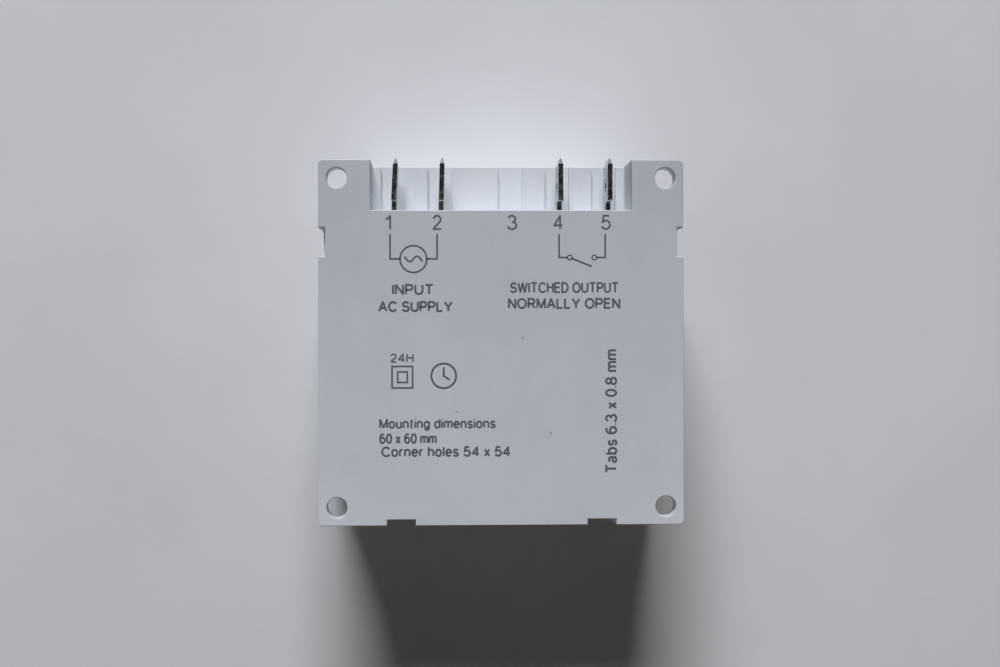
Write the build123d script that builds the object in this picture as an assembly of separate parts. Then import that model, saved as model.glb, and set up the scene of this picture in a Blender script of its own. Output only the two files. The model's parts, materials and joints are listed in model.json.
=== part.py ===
"""A square weekly timer module: a light plastic case that is screwed to a panel through its four
corner ears, with flat push-on terminals in a recess behind its top edge.

The frame, in millimetres: the module lies on its display face, so +Z points out of the back cover,
+Y points from the keys towards the terminals, and the origin is the middle of the display face.
The display side is seen from below, where a reader's right is -X.
"""
import os

from build123d import *

# ---------------------------------------------------------------- driving dimensions
SIDE = 60.0  # square outline of case and cover
HEIGHT = 32.0  # display face to back face
WALL = 1.6  # case wall
PLATE = 2.2  # back plate
EAR = 3.0  # back plate at the corner holes
OUTLINE_RADIUS = 0.7  # upright corners
EDGE_RADIUS = 0.14  # edges of the back face
FRONT_EDGE_RADIUS = 0.9  # edges of the display face
GAP = 0.15  # clearance between parts that are put together

HOLE_PITCH = 54.0
HOLE_RADIUS = 1.7
RELIEF_RADIUS = 5.0  # round corner relief in the case, around each mounting hole

RECESS_HALF = 21.5  # terminal recess, half its width
RECESS_INNER = 21.7  # its inner wall, from the middle of the case
RECESS_DEPTH = 9.6  # below the back face
RECESS_END_WALL = 1.4
CHANNEL_HALF = 2.1  # shallow channel in the recess floor under each terminal
CHANNEL_DEPTH = 1.2
CHANNEL_PLACES = (-18.1, -10.1, 1.9, 9.9, 17.9)
TERMINAL_PLACES = {1: -17.91, 2: -9.94, 4: 10.0, 5: 18.2}  # place 3 is left empty on this version
TERMINAL_LEAN = {1: -2.8, 2: -1.5}  # degrees, about an upright axis inside the case

SIDE_GROOVE = (16.5, 4.8, 1.12)  # centre, width and depth of the groove in each side
CASE_STEP = {-1: 0.36, 1: 0.0}  # how far the case stands proud of the cover in each side's groove
LOWER_GROOVE = (16.5, 4.75, 0.98)  # the same for the two in the lower wall
GROOVE_START = 3.0  # above the display face

TAB_THICK = 0.8
TAB_WIDTH = 6.3
TAB_TOP = 2.25  # from the back face down to the tab's upper edge
TAB_TIP = 30.65
TAB_SHOULDER = 23.45
SHOULDER_BEVEL = 0.16
TIP_CORNER = 1.0  # cut across each corner of the tip
TIP_THICK = 0.24  # the tip's edge, after its two bevels
CATCH_BACK = 4.5  # catch hole, from the tip
CATCH_RADIUS = 0.85
NECK_WIDTH = 3.2
TERMINAL_END = 16.6
LEAN_PIVOT_Y = 20.0

LABEL_SIZE = (54.0, 38.0)
LABEL_RECESS = 0.8
LABEL_THICK = 0.25
FRONT_WALL_TOP = 2.4  # inner face of the front wall

WINDOW_SIZE = (32.0, 12.0)
WINDOW_Y = 7.0
GLASS_SIZE = (36.0, 15.0)
GLASS_THICK = 1.1

KEY_FACE = 0.3  # key faces lie this far behind the rim of the display face
KEY_CLEARANCE = 0.15
KEY_SIZE = (6.0, 3.6)
# name: x, y, width, height of the cap
KEYS = {
    "clock": (15.0, -7.2, *KEY_SIZE),
    "day": (5.0, -7.2, *KEY_SIZE),
    "hour": (-5.0, -7.2, *KEY_SIZE),
    "minute": (-15.0, -7.2, *KEY_SIZE),
    "program": (15.0, -14.2, *KEY_SIZE),
    "reset": (5.0, -14.2, 2.6, 2.6),
    "manual": (-5.0, -14.2, 9.0, 3.6),
}
LED_PLACE = (-15.0, -14.2)
LED_RADIUS = 1.5

BOARD = 1.6  # thickness of both circuit boards
DISPLAY_BOARD_Z = 8.0
DISPLAY_BOARD_SIZE = (42.4, 39.6)
DISPLAY_SCREWS = [(x, y) for x in (-19.2, 19.2) for y in (-18.0, 17.8)]
POWER_BOARD_Z = 27.1
POWER_BOARD_HALF = 25.6
POWER_BOARD_Y = (-25.7, 19.4)
POWER_SCREWS = [(x, y) for x in (-23.6, 23.6) for y in (-17.0, 9.0)]

RELAY_SIZE = (29.0, 12.7, 15.7)
RELAY_CENTRE = (5.0, 9.5)
ARMATURE_PIVOT = (-12.9, 3.0)  # x and z in the relay's own frame
CARD_Z = (14.0, 14.9)
LEAF_X = 7.3
LEAF_PIVOT_Z = 2.5

# ---------------------------------------------------------------- places worked out from those
CASE_TOP = HEIGHT - PLATE
SHELF = HEIGHT - RECESS_DEPTH
SHELF_UNDER = SHELF - CHANNEL_DEPTH - 1.3
INNER_WALL_BACK = RECESS_INNER - 1.5
TAB_Z1 = HEIGHT - TAB_TOP
TAB_Z0 = TAB_Z1 - TAB_WIDTH
NECK_Z1 = TAB_Z0 + NECK_WIDTH
LABEL_Z = LABEL_RECESS
HOLES = [(x * HOLE_PITCH / 2, y * HOLE_PITCH / 2) for x in (-1, 1) for y in (-1, 1)]
DISPLAY_BOARD_TOP = DISPLAY_BOARD_Z + BOARD
POWER_BOARD_TOP = POWER_BOARD_Z + BOARD
RELAY_L, RELAY_W, RELAY_H = RELAY_SIZE


# ---------------------------------------------------------------- helpers
def block(x0, x1, y0, y1, z0, z1):
    """A box from its limits."""
    return Pos((x0 + x1) / 2, (y0 + y1) / 2, (z0 + z1) / 2) * Box(x1 - x0, y1 - y0, z1 - z0)


def rod(x, y, radius, z0, z1):
    """An upright cylinder."""
    return Pos(x, y, (z0 + z1) / 2) * Cylinder(radius, z1 - z0)


def rod_along(axis, x, y, z, radius, length):
    """A cylinder centred on a point, along X or Y."""
    turn = Rot(0, 90, 0) if axis == "X" else Rot(90, 0, 0)
    return Pos(x, y, z) * turn * Cylinder(radius, length)


def slab(sketch, z0, z1):
    """A flat shape given thickness, from z0 up to z1."""
    return Pos(0, 0, z0) * extrude(sketch, z1 - z0)


def rectangle(x0, x1, y0, y1):
    return Pos((x0 + x1) / 2, (y0 + y1) / 2) * Rectangle(x1 - x0, y1 - y0)


def rounded(width, height, radius, x=0.0, y=0.0):
    return Pos(x, y) * RectangleRounded(width, height, radius)


def edges_at(shape, z):
    """The edges that lie flat at one height."""
    return [e for e in shape.edges() if abs(e.bounding_box().min.Z - z) < 1e-4
            and abs(e.bounding_box().max.Z - z) < 1e-4]


# ---------------------------------------------------------------- outlines shared by case and cover
def grooves(grow=0.0, step=None):
    """The upright grooves in the two sides and the lower wall, as flat shapes."""
    side_y, side_width, side_depth = SIDE_GROOVE
    low_x, low_width, low_depth = LOWER_GROOVE
    edge = SIDE / 2
    shapes = []
    for s in (-1, 1):
        depth = side_depth - (step or {}).get(s, 0)
        inner, outer = sorted((s * (edge - depth - grow), s * (edge + 1)))
        shapes.append(rectangle(inner, outer, side_y - side_width / 2 - grow,
                                side_y + side_width / 2 + grow))
        shapes.append(rectangle(s * low_x - low_width / 2 - grow, s * low_x + low_width / 2 + grow,
                                -edge - 1, -edge + low_depth + grow))
    return shapes


def relief(x, y, radius=RELIEF_RADIUS):
    """The round-cornered space cut out of the case below one mounting ear, as a flat shape."""
    out_x = (SIDE / 2 + 1) * (1 if x > 0 else -1)
    out_y = (SIDE / 2 + 1) * (1 if y > 0 else -1)
    inner_x = x - radius * (1 if x > 0 else -1)
    inner_y = y - radius * (1 if y > 0 else -1)
    shape = Pos(x, y) * Circle(radius)
    shape += rectangle(*sorted((x, out_x)), *sorted((inner_y, out_y)))
    shape += rectangle(*sorted((inner_x, out_x)), *sorted((y, out_y)))
    if y > 0:  # the recess's end wall stands here
        limit = RECESS_HALF + RECESS_END_WALL + (RELIEF_RADIUS - radius)
        sign = 1 if x > 0 else -1
        shape &= rectangle(*sorted((sign * limit, sign * (SIDE / 2 + 1))), 0, SIDE)
    return shape


def case_inside():
    """The hollow inside the case walls, as a flat shape."""
    edge = SIDE / 2 - WALL
    shape = rectangle(-edge, edge, -edge, edge)
    for x, y in HOLES:
        shape -= relief(x, y, RELIEF_RADIUS + WALL)
    for groove in grooves(WALL):
        shape -= groove
    return shape


# ---------------------------------------------------------------- the two halves of the case
def back_cover():
    """The back plate with its mounting ears, and behind it the rim, hooks and slot tongues."""
    outline = RectangleRounded(SIDE, SIDE, OUTLINE_RADIUS)
    outline -= rectangle(-RECESS_HALF, RECESS_HALF, RECESS_INNER, SIDE)
    for groove in grooves():
        outline -= groove
    cover = slab(outline, CASE_TOP, HEIGHT)
    cover = fillet(edges_at(cover, HEIGHT), EDGE_RADIUS)
    for x, y in HOLES:
        cover += slab(relief(x, y, RELIEF_RADIUS - GAP) & RectangleRounded(SIDE, SIDE, OUTLINE_RADIUS),
                      HEIGHT - EAR, CASE_TOP)
    rim = offset(case_inside(), -GAP) - offset(case_inside(), -GAP - 1.1)
    rim &= rectangle(-SIDE, SIDE, -SIDE, 11.0)
    cover += slab(rim, CASE_TOP - 2.4, CASE_TOP)
    for hook in hooks():
        cover += hook
    for x in TERMINAL_PLACES.values():
        cover += block(x - 0.42, x + 0.42, INNER_WALL_BACK + 0.1, RECESS_INNER - 0.1,
                       NECK_Z1 + GAP, CASE_TOP)
    for x, y in HOLES:
        cover -= rod(x, y, HOLE_RADIUS, 0, HEIGHT + 1)
    rims = [e for e in edges_at(cover, HEIGHT) if e.geom_type == GeomType.CIRCLE
            and abs(e.radius - HOLE_RADIUS) < 1e-3]
    return fillet(rims, 0.15)


def hooks():
    """Four snap arms, each with a nose that goes into a window in a groove of the case."""
    arm, nose, half = 1.1, 0.9, 1.7
    z_end, z_nose = CASE_TOP - 6.6, CASE_TOP - 5.2
    side_y, _, side_depth = SIDE_GROOVE
    low_x, _, low_depth = LOWER_GROOVE
    made = []
    for s in (-1, 1):
        face = SIDE / 2 - side_depth - WALL - GAP
        arm_x = sorted((s * face, s * (face - arm)))
        nose_x = sorted((s * face, s * (face + nose)))
        made.append(block(*arm_x, side_y - half, side_y + half, z_end, CASE_TOP)
                    + block(*nose_x, side_y - half, side_y + half, z_end, z_nose))
        face = SIDE / 2 - low_depth - WALL - GAP
        made.append(block(s * low_x - half, s * low_x + half, -face, -face + arm, z_end, CASE_TOP)
                    + block(s * low_x - half, s * low_x + half, -face - nose, -face, z_end, z_nose))
    return made


def hook_windows():
    """The windows in the case that the noses go into."""
    half = 1.7 + GAP
    z0, z1 = CASE_TOP - 6.6 - GAP, CASE_TOP - 5.2 + GAP
    side_y, _, side_depth = SIDE_GROOVE
    low_x, _, low_depth = LOWER_GROOVE
    cuts = []
    for s in (-1, 1):
        face = SIDE / 2 - side_depth
        cuts.append(block(*sorted((s * (face - WALL - 1), s * (face + 1))), side_y - half, side_y + half,
                          z0, z1))
        face = SIDE / 2 - low_depth
        cuts.append(block(s * low_x - half, s * low_x + half, -face - 1, -face + WALL + 1, z0, z1))
    return cuts


def front_case():
    """The deep front half: display face, walls, corner reliefs and the shelf under the terminals."""
    outline = RectangleRounded(SIDE, SIDE, OUTLINE_RADIUS)
    for x, y in HOLES:
        outline -= relief(x, y)
    case = slab(outline, 0, CASE_TOP)
    case = fillet(edges_at(case, 0), FRONT_EDGE_RADIUS)
    for groove in grooves(step=CASE_STEP):
        case -= slab(groove, GROOVE_START, CASE_TOP + 1)
    case -= block(-RECESS_HALF, RECESS_HALF, RECESS_INNER, SIDE, SHELF, HEIGHT)
    lip = [e for e in edges_at(case, SHELF) if abs(e.center().Y - SIDE / 2) < 1e-3]
    case = fillet(lip, EDGE_RADIUS)
    for x in CHANNEL_PLACES:
        case -= block(x - CHANNEL_HALF, x + CHANNEL_HALF, RECESS_INNER, SIDE, SHELF - CHANNEL_DEPTH, SHELF)
    case -= slab(case_inside(), FRONT_WALL_TOP, SHELF_UNDER)
    upper = case_inside() & rectangle(-SIDE, SIDE, -SIDE, INNER_WALL_BACK)
    case -= slab(upper, SHELF_UNDER, CASE_TOP)
    case += inside_posts(case_inside())
    case -= face_openings()
    for cut in hook_windows():
        case -= cut
    for x in TERMINAL_PLACES.values():
        case -= block(x - 0.5, x + 0.5, INNER_WALL_BACK - 1, RECESS_INNER + 0.5, TAB_Z0 - 0.05, CASE_TOP)
    return case


def inside_posts(inside):
    """Posts that carry the two circuit boards, bored for their screws."""
    posts = []
    for x, y in DISPLAY_SCREWS:
        posts.append(rod(x, y, 1.6, FRONT_WALL_TOP, DISPLAY_BOARD_Z) - rod(x, y, 0.85, 3.6, DISPLAY_BOARD_Z))
    for x, y in POWER_SCREWS:
        stem = rod(x, y, 2.1, FRONT_WALL_TOP, POWER_BOARD_Z)
        outward = SIDE / 2 - WALL / 2
        stem += block(*sorted((x, outward if x > 0 else -outward)), y - 0.6, y + 0.6,
                      FRONT_WALL_TOP, POWER_BOARD_Z - 4)
        posts.append(stem - rod(x, y, 0.85, POWER_BOARD_Z - 8, POWER_BOARD_Z))
    return posts


def face_openings():
    """What is cut through the display face: label recess, window, keys and indicator."""
    cuts = slab(rounded(*LABEL_SIZE, 1.5), 0, LABEL_Z)
    cuts += slab(rounded(*WINDOW_SIZE, 0.8, 0, WINDOW_Y), 0, FRONT_WALL_TOP)
    for x, y, width, height in KEYS.values():
        cuts += slab(key_outline(x, y, width, height, KEY_CLEARANCE), 0, FRONT_WALL_TOP)
    cuts += rod(*LED_PLACE, LED_RADIUS + 0.1, 0, FRONT_WALL_TOP)
    return cuts


def key_outline(x, y, width, height, grow=0.0):
    """A key's rounded outline; equal sides make it round."""
    w, h = width + 2 * grow, height + 2 * grow
    if width == height:
        return Pos(x, y) * Circle(w / 2)
    return rounded(w, h, min(h / 2 - 0.05, 1.2 + grow), x, y)


# ---------------------------------------------------------------- display side
def front_label():
    """The printed film in the display face's recess."""
    width, height = (v - 0.3 for v in LABEL_SIZE)
    film = rounded(width, height, 1.4)
    film -= rounded(WINDOW_SIZE[0] + 0.1, WINDOW_SIZE[1] + 0.1, 0.85, 0, WINDOW_Y)
    for x, y, w, h in KEYS.values():
        film -= key_outline(x, y, w, h, KEY_CLEARANCE + 0.05)
    film -= Pos(*LED_PLACE) * Circle(LED_RADIUS + 0.15)
    return slab(film, LABEL_Z - LABEL_THICK, LABEL_Z)


def display_window():
    """The clear window: a plug that fills the opening, on a wider flange behind the wall."""
    plug = slab(rounded(WINDOW_SIZE[0] - 0.1, WINDOW_SIZE[1] - 0.1, 0.75, 0, WINDOW_Y),
                LABEL_Z - LABEL_THICK, FRONT_WALL_TOP)
    plug = fillet(edges_at(plug, LABEL_Z - LABEL_THICK), 0.12)
    flange = slab(rounded(WINDOW_SIZE[0] + 3, WINDOW_SIZE[1] + 2, 0.8, 0, WINDOW_Y), FRONT_WALL_TOP, 3.2)
    return plug + flange


GLASS_Z = 3.5
GLASS_Y0 = WINDOW_Y - GLASS_SIZE[1] / 2
LEDGE = 2.4  # strip of the front glass that the rear glass leaves bare for its contacts


def lcd_front_polariser():
    return slab(rounded(GLASS_SIZE[0] - 1, GLASS_SIZE[1] - 1, 0.2, 0, WINDOW_Y), GLASS_Z - 0.2, GLASS_Z)


def lcd_front_glass():
    return slab(rectangle(-GLASS_SIZE[0] / 2, GLASS_SIZE[0] / 2, GLASS_Y0, GLASS_Y0 + GLASS_SIZE[1]),
                GLASS_Z, GLASS_Z + GLASS_THICK)


def lcd_rear_glass():
    z0 = GLASS_Z + GLASS_THICK
    return slab(rectangle(-GLASS_SIZE[0] / 2, GLASS_SIZE[0] / 2, GLASS_Y0 + LEDGE, GLASS_Y0 + GLASS_SIZE[1]),
                z0, z0 + GLASS_THICK)


def lcd_reflector():
    z0 = GLASS_Z + 2 * GLASS_THICK
    half = GLASS_SIZE[0] / 2 - 0.5
    return slab(rectangle(-half, half, GLASS_Y0 + LEDGE + 0.5, GLASS_Y0 + GLASS_SIZE[1] - 0.5), z0, z0 + 0.2)


def lcd_holder():
    """The frame that holds glass and contact strip against the board."""
    outer = rounded(GLASS_SIZE[0] + 2.4, GLASS_SIZE[1] + 2.4, 1.0, 0, WINDOW_Y)
    inner = rectangle(-GLASS_SIZE[0] / 2 - 0.1, GLASS_SIZE[0] / 2 + 0.1,
                      GLASS_Y0 - 0.1, GLASS_Y0 + GLASS_SIZE[1] + 0.1)
    return slab(outer - inner, GLASS_Z - 0.2, DISPLAY_BOARD_Z)


def contact_strip():
    """The rubber strip of conducting layers between the glass ledge and the board."""
    return block(-17.4, 17.4, GLASS_Y0 + 0.2, GLASS_Y0 + LEDGE - 0.3, GLASS_Z + GLASS_THICK, DISPLAY_BOARD_Z)


def display_board():
    board = slab(rounded(*DISPLAY_BOARD_SIZE, 1.0), DISPLAY_BOARD_Z, DISPLAY_BOARD_TOP)
    for x, y in DISPLAY_SCREWS:
        board -= rod(x, y, 1.05, 0, HEIGHT)
    for x, y in link_places():
        board -= rod(x, y, 0.5, 0, HEIGHT)
    return board


SWITCH_SIZE = 4.5
SWITCH_FRONT = 4.6
PLUNGER_TIP = 3.9
PLUNGER_RADIUS = 1.2


def switch_bodies():
    """One small push switch on the board behind each key, hollow where its plunger sinks in."""
    made = []
    for x, y, _, _ in KEYS.values():
        half = SWITCH_SIZE / 2
        body = block(x - half, x + half, y - half, y + half, SWITCH_FRONT, DISPLAY_BOARD_Z)
        body = chamfer(body.edges().filter_by(Axis.Z), 0.3)
        body -= rod(x, y, PLUNGER_RADIUS + 0.05, 0, 7.0)
        body -= rod(x, y, 1.75, 5.2, 7.0)
        made.append(body)
    return made


def plunger(x, y):
    """A switch's plunger: a stem with a collar that keeps it in its body."""
    stem = rod(x, y, PLUNGER_RADIUS, PLUNGER_TIP, 6.4)
    return stem + rod(x, y, 1.65, 5.3, 6.4)


def key(name):
    """A key cap: a crowned face, a collar behind the wall and a stem on the switch's plunger."""
    x, y, width, height = KEYS[name]
    cap = slab(key_outline(x, y, width, height), KEY_FACE, FRONT_WALL_TOP + 0.1)
    cap = fillet(edges_at(cap, KEY_FACE), 0.35)
    cap += slab(key_outline(x, y, width, height, 0.6), FRONT_WALL_TOP + 0.1, FRONT_WALL_TOP + 0.9)
    return cap + rod(x, y, 1.3, FRONT_WALL_TOP + 0.9, PLUNGER_TIP - 0.05)


def status_led():
    """The indicator: a domed lens on a wider foot, standing on the board."""
    x, y = LED_PLACE
    lens = rod(x, y, LED_RADIUS, 0.6 + LED_RADIUS, 7.0)
    dome = Pos(x, y, 0.6 + LED_RADIUS) * Sphere(LED_RADIUS)
    return lens + dome + rod(x, y, 1.9, 7.0, DISPLAY_BOARD_Z)


def controller_chip():
    """The round drop of resin that covers the bare controller die."""
    blob = Pos(-2, 7, DISPLAY_BOARD_TOP) * Sphere(12.0)
    blob = blob & rod(-2, 7, 12.0, DISPLAY_BOARD_TOP + 10.4, DISPLAY_BOARD_TOP + 13)
    return Pos(0, 0, -10.4) * blob


def watch_crystal():
    """A small metal cylinder that lies on the back of the display board."""
    can = rod_along("X", -11.0, -6.0, DISPLAY_BOARD_TOP + 1.05, 1.0, 6.0)
    leads = [rod_along("X", -7.2, -6.0 + s * 0.35, DISPLAY_BOARD_TOP + 1.05, 0.14, 1.6) for s in (-1, 1)]
    return can + leads


BATTERY_PLACE = (6.0, -11.0)
BATTERY_RADIUS = 7.75
BATTERY_Z = DISPLAY_BOARD_TOP + 0.5


def backup_battery():
    """The button cell: a wide can with a narrower, crimped cap."""
    x, y = BATTERY_PLACE
    can = rod(x, y, BATTERY_RADIUS, BATTERY_Z + 0.6, BATTERY_Z + 5.6)
    can = fillet(edges_at(can, BATTERY_Z + 5.6), 0.6)
    return can + rod(x, y, BATTERY_RADIUS - 1.4, BATTERY_Z, BATTERY_Z + 0.6)


def battery_tabs():
    """The welded strips that join both faces of the cell to the board."""
    x, y = BATTERY_PLACE
    top = BATTERY_Z + 5.6
    upper = block(x - 1.5, x + BATTERY_RADIUS + 1.2, y - 1.5, y + 1.5, top, top + 0.2)
    upper += block(x + BATTERY_RADIUS + 1.0, x + BATTERY_RADIUS + 1.2, y - 1.5, y + 1.5,
                   DISPLAY_BOARD_TOP, top)
    lower = block(x - BATTERY_RADIUS - 1.2, x, y - 1.5, y + 1.5, BATTERY_Z - 0.2, BATTERY_Z)
    lower += block(x - BATTERY_RADIUS - 1.2, x - BATTERY_RADIUS - 1.0, y - 1.5, y + 1.5,
                   DISPLAY_BOARD_TOP, BATTERY_Z - 0.2)
    return [upper, lower]


def screws(places, head_z):
    """Self-tapping screws: a domed, cross-cut head on a shank, headed towards the back cover."""
    made = []
    for x, y in places:
        shank = rod(x, y, 0.82, head_z - 5.0, head_z)
        head = rod(x, y, 1.7, head_z, head_z + 0.8)
        head = fillet(edges_at(head, head_z + 0.8), 0.35)
        slot = block(x - 1.0, x + 1.0, y - 0.2, y + 0.2, head_z + 0.4, head_z + 1)
        slot += block(x - 0.2, x + 0.2, y - 1.0, y + 1.0, head_z + 0.4, head_z + 1)
        made.append(shank + head - slot)
    return made


# ---------------------------------------------------------------- link between the boards
def link_places():
    return [(-15.0 + 2.54 * i, -17.7) for i in range(4)]


def link_pins():
    return [block(x - 0.32, x + 0.32, y - 0.32, y + 0.32, DISPLAY_BOARD_Z - 0.6, POWER_BOARD_TOP + 0.5)
            for x, y in link_places()]


def link_housing():
    """The moulded strip that spaces the link pins at the power board."""
    first, last = link_places()[0], link_places()[-1]
    body = block(first[0] - 1.27, last[0] + 1.27, first[1] - 1.25, first[1] + 1.25,
                 POWER_BOARD_Z - 2.5, POWER_BOARD_Z)
    for x, y in link_places():
        body -= block(x - 0.33, x + 0.33, y - 0.33, y + 0.33, 0, HEIGHT)
    return body


# ---------------------------------------------------------------- power side
LEAD_END = POWER_BOARD_TOP + 0.6  # how far leads come through the board
FILM_LEADS = [(-19.5, -3.65), (-4.5, -3.65)]
CAN_PLACE = (18.2, -5.5)
CAN_LEAD = 1.75
VARISTOR_PLACE = (-16.0, 12.0)
VARISTOR_LEAD = 2.5
FUSE_PLACE = (-16.0, 5.6)
FUSE_SPAN = 12.0
DIODE_PLACES = [(8.0, -11.0 - 3.6 * i) for i in range(4)]
DIODE_SPAN = 9.0
TRANSISTOR_PLACE = (5.0, -4.0)
TRANSISTOR_PITCH = 1.27
RESISTOR_PLACES = [(-1.0, -13.6 - 3.0 * i) for i in range(3)]
RESISTOR_SPAN = 7.0


def power_board():
    outline = rectangle(-POWER_BOARD_HALF, POWER_BOARD_HALF, *POWER_BOARD_Y)
    for x, y in HOLES:
        outline -= relief(x, y, RELIEF_RADIUS + WALL + 1.5)
    board = slab(outline, POWER_BOARD_Z, POWER_BOARD_TOP)
    for x, y in POWER_SCREWS:
        board -= rod(x, y, 1.05, 0, HEIGHT)
    for x, y in link_places():
        board -= rod(x, y, 0.5, 0, HEIGHT)
    for x in TERMINAL_PLACES.values():
        for y0, y1 in terminal_legs():
            board -= block(x - 0.6, x + 0.6, y0 - 0.1, y1 + 0.1, 0, HEIGHT)
    for x, y, radius in pin_holes():
        board -= rod(x, y, radius, 0, HEIGHT)
    return board


def terminal_legs():
    """Start and end, along Y, of a terminal's two solder legs."""
    return [(TERMINAL_END, TERMINAL_END + 1.1), (TERMINAL_END + 1.6, TERMINAL_END + 2.7)]


def terminal(number):
    """A flat push-on terminal with a shouldered tab, bevelled tip, catch hole and two solder legs."""
    x = TERMINAL_PLACES[number]
    with BuildSketch(Plane.YZ) as profile:
        with BuildLine():
            Polyline(
                (TERMINAL_END, TAB_Z0 + 0.6), (TERMINAL_END + 0.6, TAB_Z0),
                (TAB_TIP - TIP_CORNER, TAB_Z0), (TAB_TIP, TAB_Z0 + TIP_CORNER),
                (TAB_TIP, TAB_Z1 - TIP_CORNER), (TAB_TIP - TIP_CORNER, TAB_Z1),
                (TAB_SHOULDER + SHOULDER_BEVEL, TAB_Z1), (TAB_SHOULDER, TAB_Z1 - SHOULDER_BEVEL),
                (TAB_SHOULDER, NECK_Z1), (TERMINAL_END, NECK_Z1), close=True,
            )
        make_face()
    tab = Pos(x, 0, 0) * extrude(profile.sketch, TAB_THICK / 2, both=True)
    bevel = (TAB_THICK - TIP_THICK) / 2
    for s in (-1, 1):
        face = x + s * TAB_THICK / 2
        wedge = Polyline((face, TAB_TIP - 1.1), (face, TAB_TIP + 0.1),
                         (face - s * (bevel + 0.03), TAB_TIP + 0.1), close=True)
        tab -= Pos(0, 0, TAB_Z0 - 1) * extrude(make_face(wedge), TAB_WIDTH + 2, dir=(0, 0, 1))
    tab -= rod_along("X", x, TAB_TIP - CATCH_BACK, (TAB_Z0 + TAB_Z1) / 2, CATCH_RADIUS, 2)
    for y0, y1 in terminal_legs():
        tab += block(x - TAB_THICK / 2, x + TAB_THICK / 2, y0, y1, NECK_Z1, POWER_BOARD_TOP + 0.7)
    pivot = Location((x, LEAN_PIVOT_Y, 0))
    return pivot * Rot(0, 0, TERMINAL_LEAN.get(number, 0)) * pivot.inverse() * tab


def film_capacitor():
    """The boxed suppression capacitor, with its two leads through the board."""
    body = block(-21.0, -3.0, -7.9, 0.6, POWER_BOARD_Z - 14.5, POWER_BOARD_Z - 0.05)
    body = fillet(body.edges().filter_by(Axis.Z), 0.5)
    leads = [rod(x, y, 0.4, POWER_BOARD_Z - 0.05, LEAD_END) for x, y in FILM_LEADS]
    return body + leads


def filter_capacitor():
    """The can capacitor, standing on the board, with a crimp groove near its foot."""
    (x, y), radius, tall = CAN_PLACE, 4.0, 11.5
    foot = POWER_BOARD_Z - 0.05
    can = rod(x, y, radius, foot - tall, foot)
    can = fillet(edges_at(can, foot - tall), 0.5)
    can -= rod(x, y, radius + 1, foot - 2.2, foot - 1.4) - rod(x, y, radius - 0.35, foot - 3, foot)
    leads = [rod(x + s * CAN_LEAD, y, 0.3, foot, LEAD_END) for s in (-1, 1)]
    return can + leads


def varistor():
    """The coated disc across the supply terminals, standing on two leads."""
    x, y = VARISTOR_PLACE
    disc = rod_along("Y", x, y, POWER_BOARD_Z - 5.2, 4.2, 3.4)
    disc = fillet(disc.edges().filter_by(GeomType.CIRCLE), 0.9)
    leads = [rod(x + s * VARISTOR_LEAD, y, 0.35, POWER_BOARD_Z - 2.6, LEAD_END) for s in (-1, 1)]
    return disc + leads


def lead_pair(x, y, span, z, radius):
    """Two legs that carry a lying part: out from its ends and up through the board."""
    made = []
    for s in (-1, 1):
        out = rod_along("X", x + s * span / 4, y, z, radius, span / 2)
        made.append(out + rod(x + s * span / 2, y, radius, z - radius, LEAD_END))
    return made


def lying_part(x, y, radius, length, span, lead=0.35):
    """A round part with wire ends that lies on the board along X."""
    z = POWER_BOARD_Z - radius - 0.2
    body = rod_along("X", x, y, z, radius, length)
    body = fillet(body.edges().filter_by(GeomType.CIRCLE), radius * 0.3)
    return body + lead_pair(x, y, span, z, lead)


def fuse_resistor():
    return lying_part(*FUSE_PLACE, 1.9, 9.0, FUSE_SPAN)


def rectifier_diodes():
    return [lying_part(x, y, 1.3, 5.0, DIODE_SPAN) for x, y in DIODE_PLACES]


def drive_transistor():
    """A small half-round transistor standing on three legs."""
    x, y = TRANSISTOR_PLACE
    body = rod(x, y, 2.3, POWER_BOARD_Z - 6.5, POWER_BOARD_Z - 1.8)
    body -= block(x - 3, x + 3, y - 3, y - 1.3, 0, HEIGHT)
    legs = [rod(x + s * TRANSISTOR_PITCH, y, 0.25, POWER_BOARD_Z - 2.2, LEAD_END) for s in (-1, 0, 1)]
    return body + legs


def bias_resistors():
    return [lying_part(x, y, 1.0, 3.6, RESISTOR_SPAN, 0.28) for x, y in RESISTOR_PLACES]


# ---------------------------------------------------------------- relay, built in its own frame
def place_relay(shape):
    """From the relay's frame, z away from the board and x along its length, into the module's."""
    x, y = RELAY_CENTRE
    return Pos(x, y, POWER_BOARD_Z) * Rot(180, 0, 0) * shape


COVER_WALL = 0.45
BASE_TOP = 2.3


def relay_cover():
    shell = block(-RELAY_L / 2, RELAY_L / 2, -RELAY_W / 2, RELAY_W / 2, 0.2, RELAY_H)
    shell = fillet(shell.edges().filter_by(Axis.Z) + edges_at(shell, RELAY_H), 0.4)
    inner = block(-RELAY_L / 2 + COVER_WALL, RELAY_L / 2 - COVER_WALL,
                  -RELAY_W / 2 + COVER_WALL, RELAY_W / 2 - COVER_WALL, 0, RELAY_H - COVER_WALL)
    return shell - inner


def relay_base():
    """The moulded base, with a wall that parts the contacts from the coil."""
    half_l = RELAY_L / 2 - COVER_WALL - 0.03
    half_w = RELAY_W / 2 - COVER_WALL - 0.03
    base = block(-half_l, half_l, -half_w, half_w, 0.3, BASE_TOP)
    base += block(4.9, 5.9, -half_w + 0.3, half_w - 0.3, BASE_TOP, 13.4)
    for x, y in relay_coil_pin_places():
        base -= rod(x, y, 0.36, 0, BASE_TOP + 1)
    base -= block(LEAF_X - 0.3, LEAF_X + 0.3, -3.2, 3.2, 0, BASE_TOP + 1)
    base -= block(9.2, 9.9, -3.2, 3.2, 0, BASE_TOP + 1)
    return base


def relay_coil_pin_places():
    return [(-8.0, 4.4), (-8.0, -4.4)]


def relay_coil_pins():
    return [rod(x, y, 0.35, -BOARD - 0.6, BASE_TOP + 0.05) for x, y in relay_coil_pin_places()]


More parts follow.
